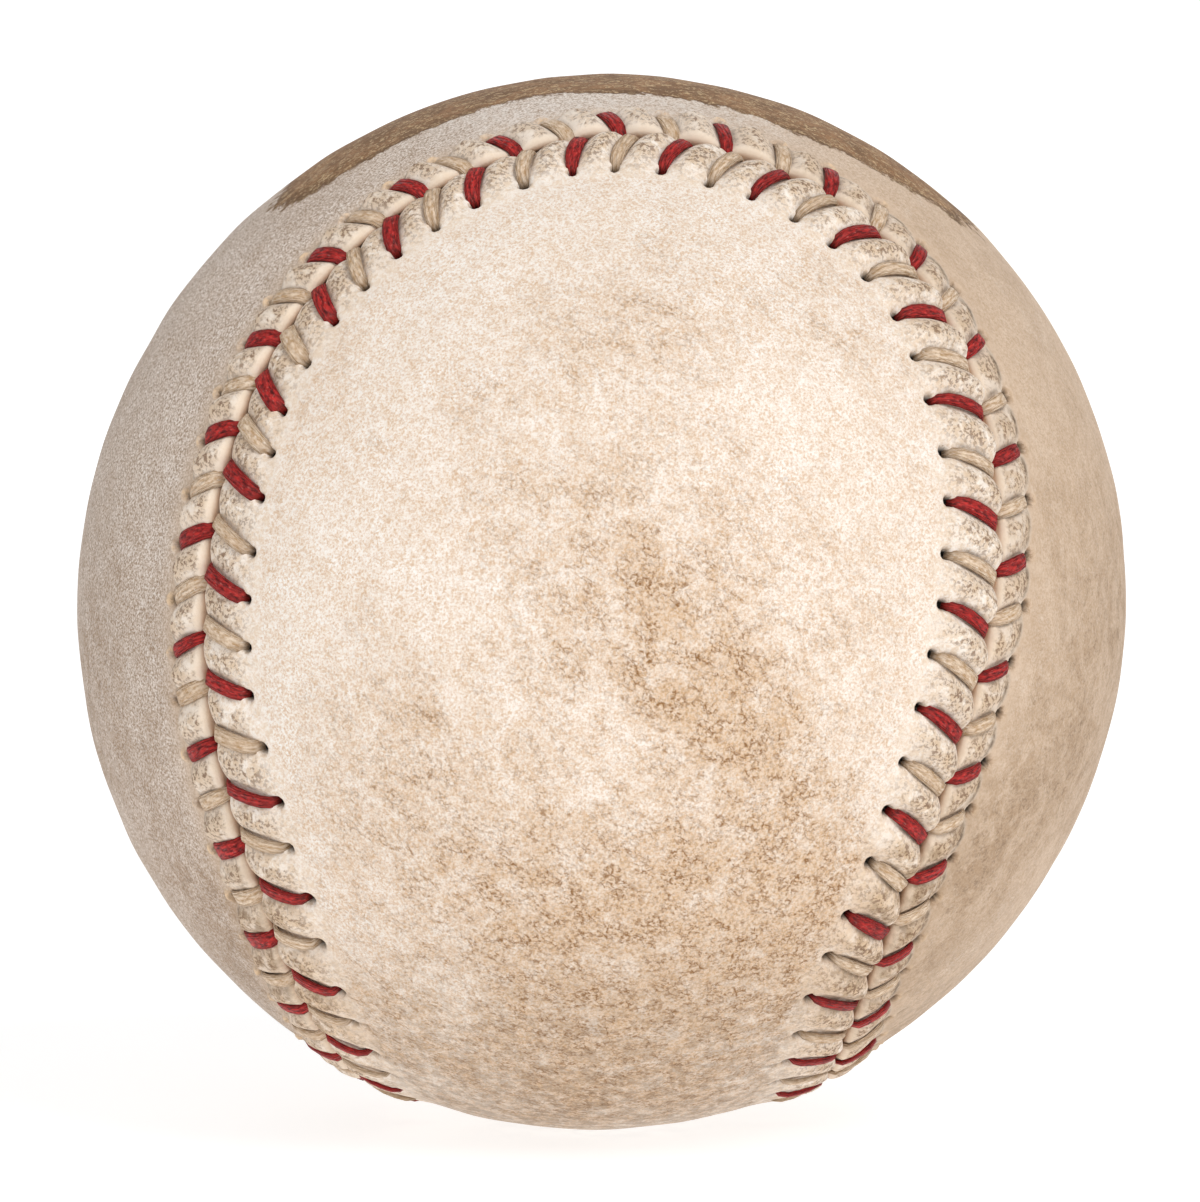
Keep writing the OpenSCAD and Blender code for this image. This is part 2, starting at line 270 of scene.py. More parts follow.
# %% [markdown]
# No real ball is quite round. This one is a quarter of a millimetre long along one slanting axis
# and as much short across it, and its leather has faint dents a few millimetres wide: a sum of
# plane waves in random directions.

# %% Out of round
LONG_AXIS, SHORT_AXIS = np.array([[0.545, 0, 0.839], [-0.839, 0, 0.545]])
rng = np.random.default_rng(5)
dent_waves = unit(rng.normal(size=(40, 3))) * (2 * np.pi / rng.uniform(3.5, 9, (40, 1)))
dent_phases = rng.uniform(0, 2 * np.pi, 40)


def out_of_round(n):
    """Height in mm: 0.28 ((n . long)^2 - (n . short)^2) + 0.006 * sum of sin(wave . point + phase)."""
    dents = np.sin(n @ (dent_waves * BALL_R).T + dent_phases).sum(-1)
    return 0.28 * ((n @ LONG_AXIS) ** 2 - (n @ SHORT_AXIS) ** 2) + 0.006 * dents


print(f"{len(dent_waves)} waves of dents, {out_of_round(LONG_AXIS[None])[0]:.2f} mm on the long axis")

# %% [markdown]
# ## The panels
# A panel is a grid that starts at its cut edge. Twelve columns to a stitch carry the puffs and
# holes; beyond them three columns run into one, and the rest is a plain sphere up to the spine, the
# line through both lobes and the neck where the two halves of the grid meet. The inner face closes
# it, so it is a real sheet of leather with a thickness.

# %% The spine of a panel
SPINE_START = np.radians(-20)


def front_spine(share):
    """Latitude: -(start + (quarter turn - start) n (0.8 + 0.2 n)), n from 0 at a lobe to 1 at the neck."""
    lobe = np.where((share < 0.25) | (share > 0.75), 0, np.pi)
    neck = 1 - np.abs(np.abs(2 * share - 1) * 2 - 1)
    angle = SPINE_START + (np.pi / 2 - SPINE_START) * neck * (0.8 + 0.2 * neck)
    return direction(-angle, lobe - TURN * np.sin(angle))


def spine_direction(share, panel):
    """The side panel's spine is the front one's after half a turn: x, y, z become -y, -x, -z."""
    if panel == "front":
        return front_spine(share)
    turned = front_spine((0.25 - share) % 1)
    return np.stack([-turned[..., 1], -turned[..., 0], -turned[..., 2]], -1)


def between(a, b, share):
    """Great-circle step from a to b: (a sin((1 - s) w) + b sin(s w)) / sin w, w the angle between."""
    whole = np.arccos(np.clip((a * b).sum(-1, keepdims=True), -1, 1))
    return (a * np.sin((1 - share) * whole) + b * np.sin(share * whole)) / np.sin(whole)


print("the front spine's ends:", front_spine(np.array([0, 0.5])).round(2).tolist())

# %% [markdown]
# ### From arrays to a mesh
# Blender keeps a mesh as flat lists of points, corners and faces, and foreach_set copies a whole
# array into such a list at once.

# %% A mesh from arrays
def into_scene(name, data):
    """A new object that shows this mesh, camera or lamp."""
    made = bpy.data.objects.new(name, data)
    bpy.context.scene.collection.objects.link(made)
    return made


def make_mesh(name, points, faces, masks, uv=None):
    """Puts points in mm and lists of face corners into a smooth mesh object, with its attributes."""
    mesh = bpy.data.meshes.new(name)
    corners = np.concatenate([f.ravel() for f in faces]).astype(np.int32)
    sizes = np.concatenate([np.full(len(f), f.shape[1]) for f in faces])
    starts = np.concatenate([[0], np.cumsum(sizes)[:-1]]).astype(np.int32)
    mesh.vertices.add(len(points))
    mesh.vertices.foreach_set("co", (points * MM).astype(np.float32).ravel())
    mesh.loops.add(len(corners))
    mesh.loops.foreach_set("vertex_index", corners)
    mesh.polygons.add(len(sizes))
    mesh.polygons.foreach_set("loop_start", starts)
    mesh.update(calc_edges=True)
    mesh.polygons.foreach_set("use_smooth", np.ones(len(sizes), bool))
    for key, value in masks.items():
        layer = mesh.attributes.new(key, "FLOAT", "POINT")
        layer.data.foreach_set("value", value.astype(np.float32).ravel())
    if uv is not None:
        layer = mesh.uv_layers.new(name="UVMap")
        layer.data.foreach_set("uv", uv[corners].astype(np.float32).ravel())
    changed = mesh.validate()
    print(f"{name}: {len(points)} points, {(sizes - 2).sum()} triangles, mended by validate: {changed}")
    return into_scene(name, mesh)


def strips(rows, columns, start, flipped):
    """Four-cornered faces between neighbouring rows of a grid that closes on itself in columns."""
    near = start + np.arange((rows - 1) * columns).reshape(-1, columns)
    beside = np.roll(near, -1, axis=1)
    quads = np.stack([near, beside, beside + columns, near + columns], -1).reshape(-1, 4)
    return quads[:, ::-1] if flipped else quads


def three_to_one(fine, coarse, columns, flipped):
    """Six-cornered faces where three columns of a fine row meet one column of a coarse row."""
    n = np.arange(columns)
    ring = [fine + (3 * n + k) % (3 * columns) for k in range(4)]
    faces = np.stack(ring + [coarse + (n + 1) % columns, coarse + n], -1)
    return faces[:, ::-1] if flipped else faces


print("faces between two rows of six points:", strips(2, 6, 0, False).shape[0])

# %% [markdown]
# ### Where the dirt and the painted shade lie
# Hands leave dirt in patches. A table gives the middle of each patch, its radius and its strength, and their
# sum goes into the mesh as an attribute, so the dirt stays where it is whatever the grid. The broad patches
# low on the ball are strong so that they also darken it there: painted shade as well as dirt.
# More attributes say where the side panel has greyed, where the ball is chalky at its crown, where a painted
# shade darkens its underside, and how deep a point lies inside the scuffed strip, which fades at its back
# and ends.

# %% Dirt with painted shade, grey and scuff
DIRT_AND_SHADE = np.array([
    # latitude, longitude, radius in degrees and strength of each patch: handled dirt, and low on the ball
    # painted shade too
    (-4, 11, 8, 0.65), (4, 7, 8, 0.4), (11, 1, 9, 0.35), (-10, 17, 8, 0.75), (-2, -3, 10, 0.35),
    (16, -8, 8, 0.25), (31, -4, 9, 0.3), (38, 6, 8, 0.2), (-24, -20, 10, 0.5), (-30, -6, 11, 0.5),
    # the broad patches at -46 and -60 degrees darken the bottom: painted shade as well as dirt
    (-26, 8, 11, 0.5), (-37, 22, 12, 0.7), (-46, 4, 20, 0.7), (-20, 20, 11, 0.4), (-26, 28, 9, 0.5),
    (-60, 0, 16, 0.9), (0, 70, 14, 0.25), (24, 78, 16, 0.3), (-10, 82, 12, 0.4), (-8, -76, 16, 0.3),
    (2, -70, 12, 0.5), (0, 11, 7, 0.5), (36, 28, 9, 0.25), (-17, -64, 12, 0.4), (-13, 61, 12, 0.4),
    (-34, -58, 10, 0.3), (2, 75, 12, 0.2), (-24, 22, 8, 0.2),
    (-12, -14, 9, 0.25), (12, 170, 14, 0.6), (-18, 195, 16, 0.5), (30, 185, 9, 0.35),
    (-50, 160, 14, 0.5), (5, 96, 12, 0.45), (-20, 80, 10, 0.35), (20, -95, 12, 0.45),
    (-15, -80, 12, 0.5), (-38, -62, 12, 0.5), (-27, 42, 9, 0.5), (-40, 40, 12, 0.7),
    (-26, 57, 10, 0.7), (-45, -50, 12, 0.7), (-31, -48, 8, 0.4),
])


def dirt_amount(n):
    """Sum over the patches of strength exp(-(angle to its middle / radius)^2)."""
    lat, lon, radius, strength = DIRT_AND_SHADE.T
    middles = direction(np.radians(lat), np.radians(lon))
    angle = np.degrees(np.arccos(np.clip(n @ middles.T, -1, 1)))
    return (strength * np.exp(-(angle / radius) ** 2)).sum(-1)


SCUFF_CORNER = 1.5


def scuff_depth(n):
    """Soft minimum of the mm inside its sides and ends: -corner * log(sum of exp(-d / corner))."""
    x, y, z = (n * BALL_R).T
    near = -8.9 - 0.9 * np.exp(-((x - 14) / 7) ** 2) + 2.0 * np.exp(-((x - 26) / 5) ** 2) \
        - 2.2 * np.exp(-((x + 19) / 8) ** 2)
    depths = np.stack([y - near, 0.35 * (6.0 - y), 0.7 * (x + 23.2), 0.7 * (26.2 - x)])
    depth = -SCUFF_CORNER * np.log(np.exp(-depths / SCUFF_CORNER).sum(0))
    return np.where(z > 0, depth, -5)


print(f"{len(DIRT_AND_SHADE)} patches, the top lies {scuff_depth(np.array([[0, 0, 1.0]]))[0]:.1f} mm inside the strip")

# %% [markdown]
# ### The sheet of leather
# The relief lives in a band along the seam, whose columns crowd round each leg and whose rows are
# close where the leather bends. Then comes the plain field. A displaced sphere would need many
# times as many faces.

# %% The band along the seam
COLUMN_SHARES = np.array([0, .06, .12, .165, .23, .35, .5, .65, .77, .835, .88, .94])
HALF_GAP, EVEN_FROM, SETTLE_FROM, BAND_END, PLAIN_U = 0.30, 5.0, 6.3, 8.0, 8.2
BAND_STEPS = np.concatenate([np.arange(0, 1.2, 0.12), np.arange(1.2, 2.4, 0.2),
                             np.arange(2.4, 5.2, 0.14), np.arange(5.2, BAND_END, 0.4)])


def build_band(panel):
    """Points in mm: direction * (ball + relief + out of round), the masks, and the last row's lag."""
    count = np.add.outer(stitch, COLUMN_SHARES).ravel()
    even = np.add.outer(stitch, np.arange(len(COLUMN_SHARES)) / len(COLUMN_SHARES)).ravel()
    share = np.tile(COLUMN_SHARES, STITCHES)
    d = np.where(share > 0.5, share - 1, share) * PITCH
    # Every value that changes from stitch to stitch
    here = {key: between_stitches(key, panel, count) for key, value in PANELS[panel].items()
            if np.ndim(value)}
    shift = here["shift"]
    edge = HALF_GAP + shift + here["bulge"] * pillow(d)
    # Rows keep their distance from the cut edge, then even out towards the plain part
    evened = smooth(EVEN_FROM, BAND_END, BAND_STEPS)[:, None]
    u = BAND_STEPS[:, None] + edge * (1 - evened) + (PLAIN_U - BAND_END) * evened
    height, masks = leather_relief(u, edge, d, panel, here)
    # The grid's places trail with the legs, then settle on even quarters of a stitch
    lag = int(np.round((FIRST_PLACE - PANELS[panel]["trail"].mean() / PITCH) * 4))
    settle = smooth(SETTLE_FROM, PLAIN_U, u)
    out = (u - shift) / (here["hole_u"] - shift)
    trailing = leg_trail(out, here["trail"], here["bend"], panel)
    sewn = count + here["drift"] + FIRST_PLACE - trailing / PITCH
    place = sewn * (1 - settle) + (even + lag / 4) * settle
    band = band_direction(place, u, PANELS[panel]["sign"])
    masks["from_seam"] = u - shift
    return band * (BALL_R + height * (1 - settle) + out_of_round(band))[..., None], masks, lag


print(f"{len(BAND_STEPS)} rows of {len(COLUMN_SHARES) * STITCHES} columns in each band")

# %% The plain field and the whole panel
FIELD_COLUMNS, FIELD_ROWS, INNER_ROWS, INNER_U = 4 * STITCHES, 24, 8, 0.35
UNWORN = 20.0  # mm from the seam given to the inner face, to keep wear off it
quarter = np.arange(FIELD_COLUMNS)


def field(panel, first_u, lag, row_count):
    """Directions from the edge of the band to the last row before the spine."""
    lagging = (quarter + lag) % FIELD_COLUMNS
    begin = band_direction(lagging / 4, np.full(FIELD_COLUMNS, first_u), PANELS[panel]["sign"])
    end = spine_direction(lagging / FIELD_COLUMNS, panel)
    shares = (np.arange(row_count) / row_count)[:, None, None]
    return between(begin, end, shares).reshape(-1, 3)


def close(panel, last_row, lag, flipped):
    """Faces from the last row to the spine after it, where two columns share each point."""
    steps = (quarter + lag - 4 * PANELS[panel]["lobe"]) % FIELD_COLUMNS
    at = last_row + FIELD_COLUMNS + np.minimum(steps, FIELD_COLUMNS - steps)
    row = last_row + quarter
    faces = np.stack([row, np.roll(row, -1), np.roll(at, -1), at], -1)
    return faces[:, ::-1] if flipped else faces


def build_panel(name, panel):
    """One closed sheet: relief band, fan, plain field to the spine, and the same inside."""
    flipped = panel == "front"
    band, masks, lag = build_band(panel)
    inner_lag = int(np.round((FIRST_PLACE - PANELS[panel]["start"] / PITCH) * 4))
    rows, columns = band.shape[:2]
    t = np.arange(FIELD_COLUMNS // 2 + 1) / FIELD_COLUMNS
    spine = spine_direction(t if panel == "front" else (t + 0.25) % 1, panel)
    outside = np.concatenate([field(panel, PLAIN_U, lag, FIELD_ROWS), spine])
    inside = np.concatenate([field(panel, INNER_U, inner_lag, INNER_ROWS), spine]) * FLESH_R
    skin = outside * (BALL_R + out_of_round(outside))[:, None]
    points = np.concatenate([band.reshape(-1, 3), skin, inside])
    outer_0 = rows * columns
    inner_0 = outer_0 + len(outside)
    faces = [
        strips(rows, columns, 0, flipped),
        strips(FIELD_ROWS, FIELD_COLUMNS, outer_0, flipped),
        close(panel, outer_0 + (FIELD_ROWS - 1) * FIELD_COLUMNS, lag, flipped),
        strips(INNER_ROWS, FIELD_COLUMNS, inner_0, not flipped),
        close(panel, inner_0 + (INNER_ROWS - 1) * FIELD_COLUMNS, inner_lag, not flipped),
        three_to_one((rows - 1) * columns, outer_0, FIELD_COLUMNS, flipped),
        three_to_one(0, inner_0, FIELD_COLUMNS, not flipped),
    ]
    seam = seam_frame(np.arange(0, STITCHES, 0.25))[0]
    nearest = np.arccos(np.clip(outside @ seam.T, -1, 1)).min(1) * BALL_R
    beyond = {"from_seam": np.concatenate([nearest, np.full(len(inside), UNWORN)])}
    unmarked = np.zeros(len(outside) + len(inside))
    layers = {key: np.append(np.broadcast_to(value, (rows, columns)), beyond.get(key, unmarked))
              for key, value in masks.items()}
    n = unit(points)
    # the underside layer marks the painted shade that darkens the ball beneath, and the low dirt patches
    # darken it as well
    layers.update(dirt=dirt_amount(n), greyed=smooth(-0.35, 0.5, 0.35 * n[:, 2] - n[:, 0]),
                  scuff=scuff_depth(n), underside=smooth(-0.45, -0.95, n[:, 2]),
                  crown=smooth(0.85, 0.95, n[:, 2]))
    return make_mesh(name, points, faces, layers)


leather_front = build_panel("leather_front", "front")
leather_side = build_panel("leather_side", "side")

# %% [markdown]
# ## The threads
# Each leg is a flattened tube swept along its own line: up out of the gap, over the leather and down into
# the near side of the hole, whose far side is a dip in the leather painted near-black as the shade inside
# the opening. There are 216 legs, so each has only a few dozen faces, and the twist and fibres are left to
# the material.

# %% Sweep the legs of one thread
# Rings of a leg: share of the way from the seam to the hole, mm over the leather, mm wide and thick
LEG_OUT = np.array([-0.035, 0.06, 0.17, 0.35, 0.57, 0.77, 0.90, 0.98])
LEG_HEIGHT = np.array([-0.80, -0.08, 0.34, 0.46, 0.46, 0.36, 0.12, -0.60])
TAPERED = np.array([0.60, 0.86, 0.98, 1.04, 1.04, 0.95, 0.82, 0.66])
BLUNT = np.array([0.90, 1.06, 1.14, 1.18, 1.20, 1.18, 1.12, 1.00])
LEG_THICK = 0.34 * np.array([0.8, 0.95, 1.0, 1.0, 1.0, 1.0, 0.95, 0.85])
SECTION = np.linspace(0, 2 * np.pi, 9)[:-1] + np.pi / 8


def leg_rings(n, panel):
    """Rings of points: middle + width / 2 * wide * across + thickness / 2 * tall * up."""
    values = PANELS[panel]
    # How high, wide and thick each leg is against the others
    shape = SEWING.normal(0, 1, (len(n), 3))
    hole_u, trail, bend, drift, shift, short = (
        values[key][n][:, None] for key in ("hole_u", "trail", "bend", "drift", "shift", "short"))
    reach = LEG_OUT * (1 - short / (hole_u - shift))
    place = n[:, None] + drift + FIRST_PLACE - leg_trail(reach, trail, bend, panel) / PITCH
    lift = 0.04 * shape[:, :1] + (0.06 if panel == "front" else -0.02) - 0.12 * pinch[n][:, None]
    height = LEG_HEIGHT + lift * np.sin(np.linspace(0, np.pi, len(LEG_OUT)))
    middle = band_direction(place, shift + reach * (hole_u - shift), values["sign"])
    middle = middle * (BALL_R + height + out_of_round(middle))[..., None]
    along = unit(np.gradient(middle, axis=1))
    up = unit(middle)
    up = unit(up - along * (up * along).sum(-1, keepdims=True))
    across = np.cross(along, up)
    tapered = smooth(0.45, 0.85, lean[n])[:, None] if panel == "front" else worn_open[n][:, None]
    width = TAPERED * tapered + BLUNT * (1 - tapered)
    width = width * (1 + 0.07 * shape[:, 1:2]) * (1 - 0.28 * pinch[n][:, None])
    thick = LEG_THICK * (1 + 0.06 * shape[:, 2:3])
    # A section between an ellipse and a box
    wide, tall = (np.sign(c) * np.abs(c) ** 0.65 for c in (np.cos(SECTION), np.sin(SECTION)))
    return (middle[:, :, None] + across[:, :, None] * (width[..., None] * wide / 2)[..., None]
            + up[:, :, None] * (thick[..., None] * tall / 2)[..., None])


def build_thread(name, phase):
    """The legs of every second stitch on each panel, each closed by a cap at both ends."""
    rings = np.concatenate([leg_rings(stitch[(stitch + phase) % 2 == 0], "side"),
                            leg_rings(stitch[(stitch + phase) % 2 == 1], "front")])
    legs, length, around = rings.shape[:3]
    start = np.arange(legs)[:, None, None] * length * around
    walls = (start + np.roll(strips(length, around, 0, True), 1, 1)).reshape(-1, 4)
    ends = start[:, 0] + np.arange(around)
    caps = np.concatenate([ends, ends[:, ::-1] + (length - 1) * around])
    points = rings.reshape(-1, 3)
    # The map: mm along the thread, and out and back across it, so that the pattern meets itself
    step = np.linalg.norm(np.diff(rings.mean(2), axis=1), axis=-1)
    run = np.concatenate([np.zeros((legs, 1)), np.cumsum(step, 1)], 1) + SEWING.uniform(0, 40, (legs, 1))
    across = np.abs(np.linspace(-1, 1, around, endpoint=False)) * 2
    share = (np.arange(length) / (length - 1))[:, None]
    tucked = np.clip(np.abs(share - 0.47) * 4.4 - 1.3, 0, 1)
    tone = SEWING.uniform(0, 1, (legs, 1, 1))
    along, across, tucked, tone = (
        np.broadcast_to(value, (legs, length, around)).ravel()
        for value in (run[..., None], across, tucked, tone))
    uv = np.stack([along, across], -1)
    return make_mesh(name, points, [walls, caps], {"tucked": tucked, "tone": tone}, uv)


thread_red = build_thread("thread_red", 0)
thread_natural = build_thread("thread_natural", 1)

# %% [markdown]
# ## The windings
# Under the leather the yarn is wound in bundles that cross at every angle. Each bundle is a belt
# round a great circle with its own axis, and a later belt lies over the earlier ones. The surface
# rises a little on each belt, and an attribute counts the yarns across it for the material.

# %% Wound surfaces
OUTER_GRID, INNER_GRID = (300, 150), (60, 30)


def globe(columns, rows):
    """Unit vectors of a grid of latitudes and longitudes, then the south and the north pole."""
    lat = np.linspace(-np.pi / 2, np.pi / 2, rows + 2)[1:-1]
    lon = np.arange(columns) / columns * 2 * np.pi
    return np.concatenate([direction(lat[:, None], lon).reshape(-1, 3), [[0, 0, -1], [0, 0, 1]]])


def globe_faces(columns, rows, start, flipped):
    """Strips, and a fan of three-cornered faces at each pole."""
    south = start + columns * rows
    first = start + np.arange(columns)
    last = first + columns * (rows - 1)
    fans = np.concatenate([
        np.stack([np.full(columns, south), np.roll(first, -1), first], -1),
        np.stack([last, np.roll(last, -1), np.full(columns, south + 1)], -1)])
    return strips(rows, columns, start, flipped), (fans[:, ::-1] if flipped else fans)


def wound_surface(name, outer_r, inner_r, yarn, belts, seed):
    """Sphere with a height of yarn * (0.30 * level of the top belt - 0.36), and a plain inside."""
    rng = np.random.default_rng(seed)
    ball = globe(*OUTER_GRID)
    axes = unit(rng.normal(size=(belts, 3)))
    widths = rng.uniform(5, 11, belts) * yarn
    yarns = ball @ axes[0] * outer_r / yarn
    level = np.zeros(len(ball))
    for belt, (axis, width) in enumerate(zip(axes, widths)):
        offset = np.arcsin(np.clip(ball @ axis, -1, 1)) * outer_r
        on_it = np.abs(offset) < width
        yarns = np.where(on_it, offset / yarn + 7 * belt, yarns)
        level = np.where(on_it, 0.35 + 0.65 * (1 - (offset / width) ** 2), level * 0.9)
    outside = ball * (outer_r + yarn * (0.30 * level - 0.36))[:, None]
    inside = globe(*INNER_GRID) * inner_r
    shells = globe_faces(*OUTER_GRID, 0, False), globe_faces(*INNER_GRID, len(outside), True)
    masks = {key: np.concatenate([value, np.zeros(len(inside))])
             for key, value in (("yarns", yarns), ("level", level))}
    faces = [np.concatenate(alike) for alike in zip(*shells)]
    return make_mesh(name, np.concatenate([outside, inside]), faces, masks)


COTTON_R, GREY_R, WHITE_R, INNER_R, PILL_R = 35.583, 35.083, 32.833, 31.083, 16.7
wound_cotton = wound_surface("wound_cotton", COTTON_R, GREY_R, 0.45, 90, 21)
wound_grey_wool = wound_surface("wound_grey_wool", GREY_R, WHITE_R, 1.2, 40, 22)
wound_white_wool = wound_surface("wound_white_wool", WHITE_R, INNER_R, 1.2, 40, 23)
wound_inner_wool = wound_surface("wound_inner_wool", INNER_R, PILL_R, 1.6, 34, 24)

# %% [markdown]
# ## Materials
# Patterns are scaled by real sizes: a noise texture with a scale of 1 / s shows features about s
# metres across, so a helper turns a size in millimetres to a scale.

# %% Helpers for colours and nodes
def linear(code):
    """sRGB hex to linear: c / 12.92 up to 0.04045, and ((c + 0.055) / 1.055) ^ 2.4 above it."""
    c = np.array([int(code[i:i + 2], 16) for i in (1, 3, 5)]) / 255
    c = np.where(c <= 0.04045, c / 12.92, ((c + 0.055) / 1.055) ** 2.4)
    return (*map(float, c), 1.0)


def scale_of(size_mm):
    """Texture scale that gives features of this size."""
    return 1 / (size_mm * MM)


def add(tree, kind, sockets=None, output=0, **settings):
    """Adds a node and returns one of its outputs. A socket takes a value or another's output."""
    made = tree.nodes.new("ShaderNode" + kind)
    for key, value in settings.items():
        setattr(made, key, value)
    for key, value in (sockets or {}).items():
        if isinstance(value, bpy.types.NodeSocket):
            tree.links.new(value, made.inputs[key])
        else:
            made.inputs[key].default_value = value
    return made.outputs[output] if made.outputs else made


def blank(name, coordinates="Object"):
    """A new material, its tree, and the coordinates that its patterns lie in."""
    material = bpy.data.materials.new(name)
    material.use_nodes = True
    tree = material.node_tree
    tree.nodes.clear()
    return material, tree, add(tree, "TexCoord", output=coordinates)


def lay_washes(tree, base, washes):
    """Lays one wash over another: colour (1 - share) + wash share, the share a product of factors."""
    colour = linear(base)
    for code, share, *factors in washes:
        for factor in factors:
            share = add(tree, "Math", {0: share, 1: factor}, operation="MULTIPLY", use_clamp=True)
        colour = add(tree, "Mix", {0: share, 6: colour, 7: linear(code)}, 2, data_type="RGBA")
    return colour


def finish(tree, colour, height, depth_mm, **surface):
    """Principled surface with a bump of this depth, ending at the output."""
    bump = add(tree, "Bump", {"Height": height, "Distance": depth_mm * MM, "Strength": 1.0})
    sockets = {key.replace("_", " "): value for key, value in surface.items()}
    sockets.update({"Base Color": colour, "Normal": bump})
    add(tree, "OutputMaterial", {"Surface": add(tree, "BsdfPrincipled", sockets)})


print(f"middle grey in linear light: {linear('#808080')[0]:.3f}")

# %% [markdown]
# ### Leather
# The covers are alum-tanned horsehide, which starts nearly white. Years of handling give the eye a dull
# cream with no gloss: brown dirt in the wrinkles of the grain, a mottle of small fibres, dark crumbs on the
# puffs, which rub most, and orange-brown in the gap, where the raw edge shows. Light and shade are painted
# on too: a highlight on the creamier flanks beside the seam, and shade in the creases, in the holes and on
# the underside, where the low patches of dirt darken it as well. The patterns come first: shares that say
# where something lies.

# %% Patterns in the leather
NOISES = {
    # feature size in mm, detail, roughness, distortion
    "cloud": (13, 3, 0.55, 0.3), "blotch": (2.6, 5, 0.7, 0.8), "cluster": (1.4, 4, 0.7, 0.4),
    "fibre": (0.50, 5, 0.75, 0.6), "pepper": (0.17, 4, 0.70, 0.3), "crumb": (0.27, 3, 0.60, 0.3),
    "ragged": (0.9, 4, 0.65, 0.0), "chalk": (6, 5, 0.75, 0.6),
}
SPANS = {
    # noise or layer of the mesh, value where the span starts, value where it is full
    "cloudy": ("cloud", 0.40, 0.66), "blotchy": ("blotch", 0.34, 0.64),
    "fibrous": ("fibre", 0.45, 0.58), "peppered": ("pepper", 0.46, 0.66),
    "clustered": ("cluster", 0.36, 0.53), "crumbly": ("crumb", 0.48, 0.58),
    "chalky": ("chalk", 0.50, 0.64), "flecked": ("pepper", 0.52, 0.38), "rough": ("ragged", 0.40, 0.60),
    "broken": ("crumb", 0.36, 0.60), "away": ("from_seam", 2.4, 6.0), "beside": ("from_seam", 4.5, 1.6),
}
LAYERS = ("crest", "lip_highlight", "gap", "puffed", "hole", "rim", "crease", "nub", "from_seam", "dirt",
          "greyed", "scuff", "underside", "crown")


def leather_patterns(tree, place, puffs):
    """The mesh's layers, the noises and the shares made from them; a span becomes a smooth step."""
    given = {key: add(tree, "Attribute", output="Fac", attribute_name=key) for key in LAYERS}
    for key, (size, detail, roughness, distortion) in NOISES.items():
        given[key] = add(tree, "TexNoise", {"Vector": place, "Scale": scale_of(size), "Detail": detail,
                                            "Roughness": roughness, "Distortion": distortion})
    share = {key: add(tree, "MapRange", {0: given[source], 1: low, 2: high},
                      interpolation_type="SMOOTHSTEP") for key, (source, low, high) in SPANS.items()}
    # The grain's wrinkles are the borders of small cells, pulled out of shape by a coarser noise
    pull = add(tree, "TexNoise", {"Vector": place, "Scale": scale_of(0.8), "Detail": 3.0}, "Color")
    pulled = add(tree, "VectorMath", {0: pull, 1: (0.45 * MM,) * 3, 2: place}, operation="MULTIPLY_ADD")
    slanted = add(tree, "Mapping", {"Vector": pulled, "Rotation": (0, -0.88, 0), "Scale": (1, 1, 2.0)},
                  vector_type="TEXTURE")
    streak = add(tree, "TexNoise", {"Vector": slanted, "Scale": scale_of(0.9), "Detail": 3.0})
    streaked = add(tree, "MapRange", {0: streak, 1: 0.42, 2: 0.58})
    ridden = add(tree, "Math", {0: share["broken"], 1: streaked}, operation="MULTIPLY")
    for key, size, width in (("wrinkled", 0.42, 0.13), ("fine_wrinkled", 0.25, 0.20)):
        border = add(tree, "TexVoronoi", {"Vector": slanted, "Scale": scale_of(size)},
                     feature="DISTANCE_TO_EDGE")
        line = add(tree, "MapRange", {0: border, 1: width, 2: 0.01})
        share[key] = add(tree, "Math", {0: line, 1: ridden}, operation="MULTIPLY")
    # The strip's distance inside its edges, made ragged by two noises
    frayed = given["scuff"]
    for source, amount in (("ragged", 2.4), ("blotch", 2.0)):
        frayed = add(tree, "Math", {0: given[source], 1: amount, 2: frayed}, operation="MULTIPLY_ADD")
    # Dirt: the table's patches and the clouds together, broken up by blotches
    heavy = add(tree, "Math", {0: share["cloudy"], 1: 0.35, 2: given["dirt"]}, operation="MULTIPLY_ADD")
    patchy = add(tree, "MapRange", {0: share["blotchy"], 3: 0.40, 4: 1.0})
    share["dirty"] = add(tree, "Math", {0: heavy, 1: patchy}, operation="MULTIPLY", use_clamp=True)
    for key, source, ends in (
            ("scuffed", frayed, {1: 2.1, 2: 2.4}), ("scuff_edge", frayed, {1: 3.0, 2: 2.4}),
            ("filthy", share["dirty"], {1: 0.1, 2: 1.0}), ("clean", heavy, {1: 0.75, 2: 0.25}),
            ("rubbed", heavy, {1: 1.3, 2: 0.3, 3: 0.65}),
            ("pale", given["greyed"], {3: puffs[0], 4: puffs[1]})):
        share[key] = add(tree, "MapRange", {0: source, **ends})
    return {**given, **share}


print(f"{len(NOISES)} noises and {len(LAYERS)} layers, with {len(SPANS)} spans of them")
